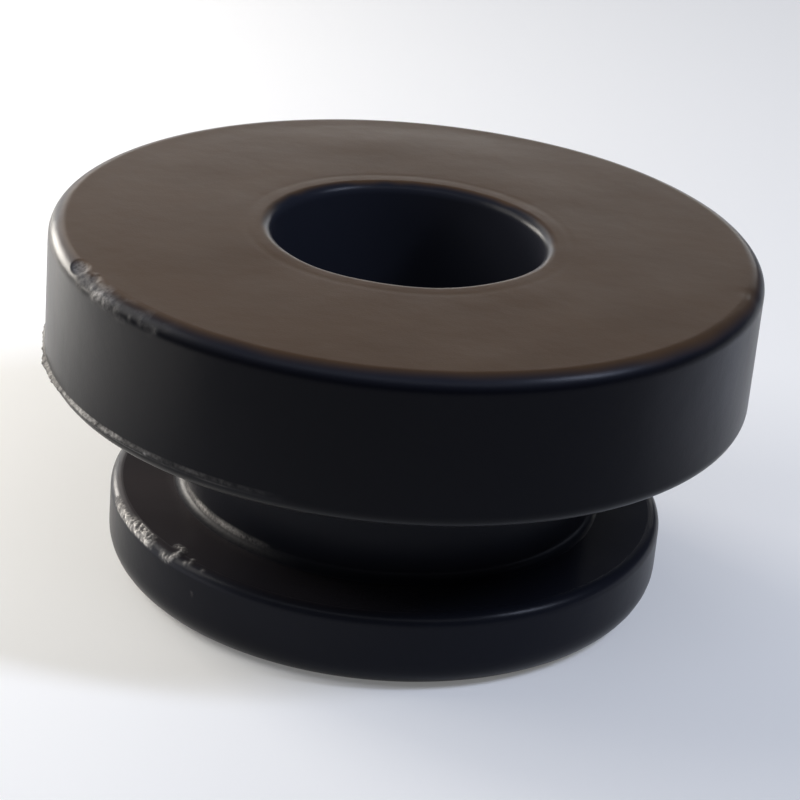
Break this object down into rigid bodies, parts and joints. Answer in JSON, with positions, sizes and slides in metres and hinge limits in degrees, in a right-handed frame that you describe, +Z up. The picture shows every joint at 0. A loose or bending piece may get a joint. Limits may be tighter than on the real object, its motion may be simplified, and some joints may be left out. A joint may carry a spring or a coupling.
{
  "type": "fuel tank rubber mount",
  "caption": "Round black rubber grommet with a wide thick head flange, a grooved neck, a smaller foot flange and a straight through bore, for cushioning a fuel tank on its bracket.",
  "frame": {"origin": "on the axis at the foot flange's flat base, which the part stands on", "axes": "+Z up along the bore's axis, from the foot flange to the head flange; -Y towards the side that the picture shows, +X to its right"},
  "size_m": [0.0301, 0.03, 0.0153],
  "materials": {
    "moulded_rubber": "moulded black rubber, satin on the walls, with a thin brown-grey bloom on the faces that look up"
  },
  "bodies": {
    "root": {"rubber_mount": "moulded_rubber"}
  },
  "joints": []
}
